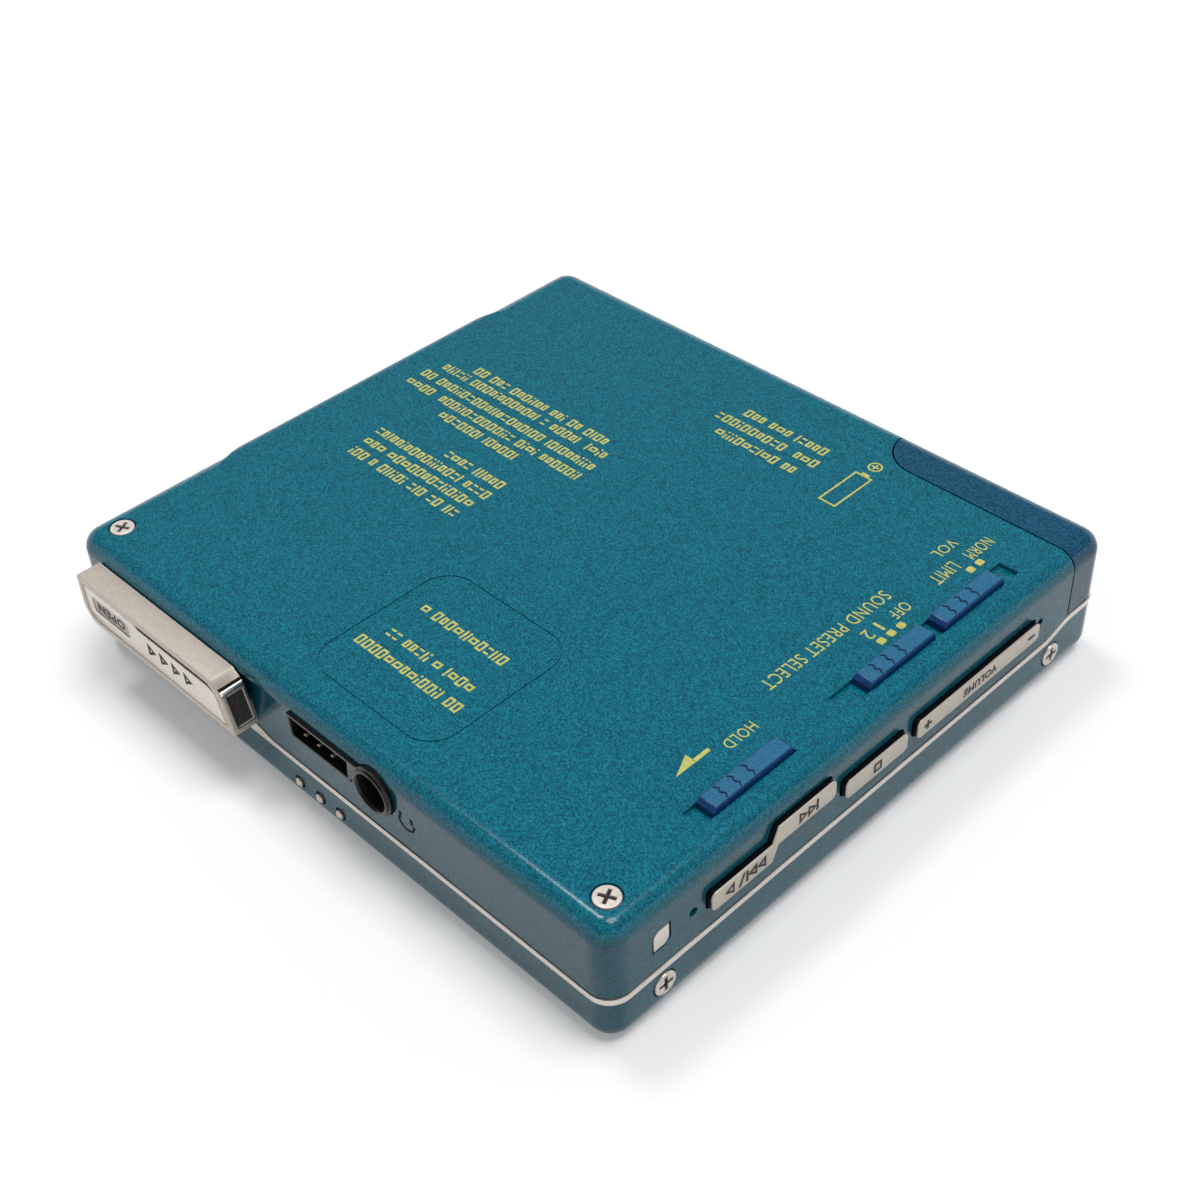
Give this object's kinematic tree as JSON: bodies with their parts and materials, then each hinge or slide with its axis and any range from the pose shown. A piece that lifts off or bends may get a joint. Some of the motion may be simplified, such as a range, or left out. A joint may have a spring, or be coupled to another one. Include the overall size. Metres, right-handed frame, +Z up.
{
  "type": "portable minidisc player",
  "caption": "Flat clamshell portable disc player, closed and lying on its lid, with slide knobs, side keys, open slider, battery door, jack and a disc drive inside.",
  "frame": {"origin": "middle of the lid's outer face, which lies on the floor", "axes": "+X from the open slider to the hinge, +Y from the key side to the back, +Z up to the underside"},
  "size_m": [0.075, 0.0802, 0.0158],
  "materials": {
    "teal_paint": "metallic satin",
    "champagne": "satin",
    "blue_plastic": "satin",
    "silver_plastic": "satin",
    "black_plastic": "satin",
    "steel": "satin",
    "gold_contact": "polished",
    "board_green": "satin",
    "pale_lens": "gloss",
    "lens_glass": "polished",
    "cell_wrap": "satin",
    "magnet": "matte"
  },
  "bodies": {
    "lid": {"lid_cover": "teal_paint", "lid_trim": "champagne", "disc_holder": "steel", "lid_catch": "steel", "lid_screws": "steel", "side_studs": "champagne", "hinge_pins": "steel"},
    "base": {"base_shell": "teal_paint", "chassis": "steel", "circuit_board": "board_green", "board_chips": "black_plastic", "jack_block": "black_plastic", "remote_contacts": "gold_contact", "key_frame": "black_plastic", "key_board": "board_green", "dome_switches": "steel", "slide_switches": "black_plastic", "indicator_lens": "pale_lens", "spindle_motor": "steel", "guide_rods": "steel", "sled_motor": "steel", "battery_cell": "cell_wrap", "battery_spring": "gold_contact", "base_screws": "steel"},
    "slider": {"open_slider": "silver_plastic", "slider_plate": "champagne", "latch_plate": "steel"},
    "hold": {"hold_knob": "blue_plastic"},
    "sound": {"sound_knob": "blue_plastic"},
    "limit": {"limit_knob": "blue_plastic"},
    "track": {"track_rocker": "silver_plastic"},
    "stop": {"stop_key": "silver_plastic"},
    "volume": {"volume_rocker": "silver_plastic"},
    "door": {"battery_door": "blue_plastic", "door_contact": "gold_contact"},
    "platter": {"turntable": "steel", "chuck_magnet": "magnet"},
    "sled": {"pickup_sled": "black_plastic", "objective_lens": "lens_glass"},
    "screw": {"lead_screw": "steel"}
  },
  "joints": [
    {"name": "case_hinge", "type": "hinge", "parent": "lid", "child": "base", "pos_m": [0.0344, 0, 0.0056], "axis": [0, 1, 0], "range_deg": [0, 50]},
    {"name": "slider_slide", "type": "slide", "parent": "base", "child": "slider", "axis": [0, -1, 0], "range_m": [0, 0.004], "stiffness_N_per_m": 60},
    {"name": "hold_slide", "type": "slide", "parent": "base", "child": "hold", "axis": [-1, 0, 0], "range_m": [0, 0.0015]},
    {"name": "sound_slide", "type": "slide", "parent": "base", "child": "sound", "axis": [-1, 0, 0], "range_m": [0, 0.0031]},
    {"name": "limit_slide", "type": "slide", "parent": "base", "child": "limit", "axis": [1, 0, 0], "range_m": [0, 0.002]},
    {"name": "track_rock", "type": "hinge", "parent": "base", "child": "track", "pos_m": [-0.01575, -0.0379, 0.0105], "axis": [0, 0, 1], "range_deg": [-3, 3], "stiffness_Nm_per_rad": 0.005},
    {"name": "stop_push", "type": "slide", "parent": "base", "child": "stop", "axis": [0, 1, 0], "range_m": [0, 0.0004], "stiffness_N_per_m": 150},
    {"name": "volume_rock", "type": "hinge", "parent": "base", "child": "volume", "pos_m": [0.01425, -0.0379, 0.0097], "axis": [0, 0, 1], "range_deg": [-2.5, 2.5], "stiffness_Nm_per_rad": 0.005},
    {"name": "door_swing", "type": "hinge", "parent": "base", "child": "door", "pos_m": [0.0348, -0.0186, 0.011], "axis": [0, 0, 1], "range_deg": [0, 90]},
    {"name": "spindle_spin", "type": "hinge", "parent": "base", "child": "platter", "pos_m": [0, 0, 0.007], "axis": [0, 0, 1], "continuous": true},
    {"name": "sled_slide", "type": "slide", "parent": "base", "child": "sled", "axis": [0, 1, 0], "range_m": [0, 0.016]},
    {"name": "lead_screw_spin", "type": "hinge", "parent": "base", "child": "screw", "pos_m": [0.02, 0.02, 0.0099], "axis": [0, 1, 0], "range_deg": [0, 1921]}
  ],
  "couplings": [
    {"joint": "lead_screw_spin", "follows": "sled_slide", "rad_per_m": 2094.4}
  ]
}
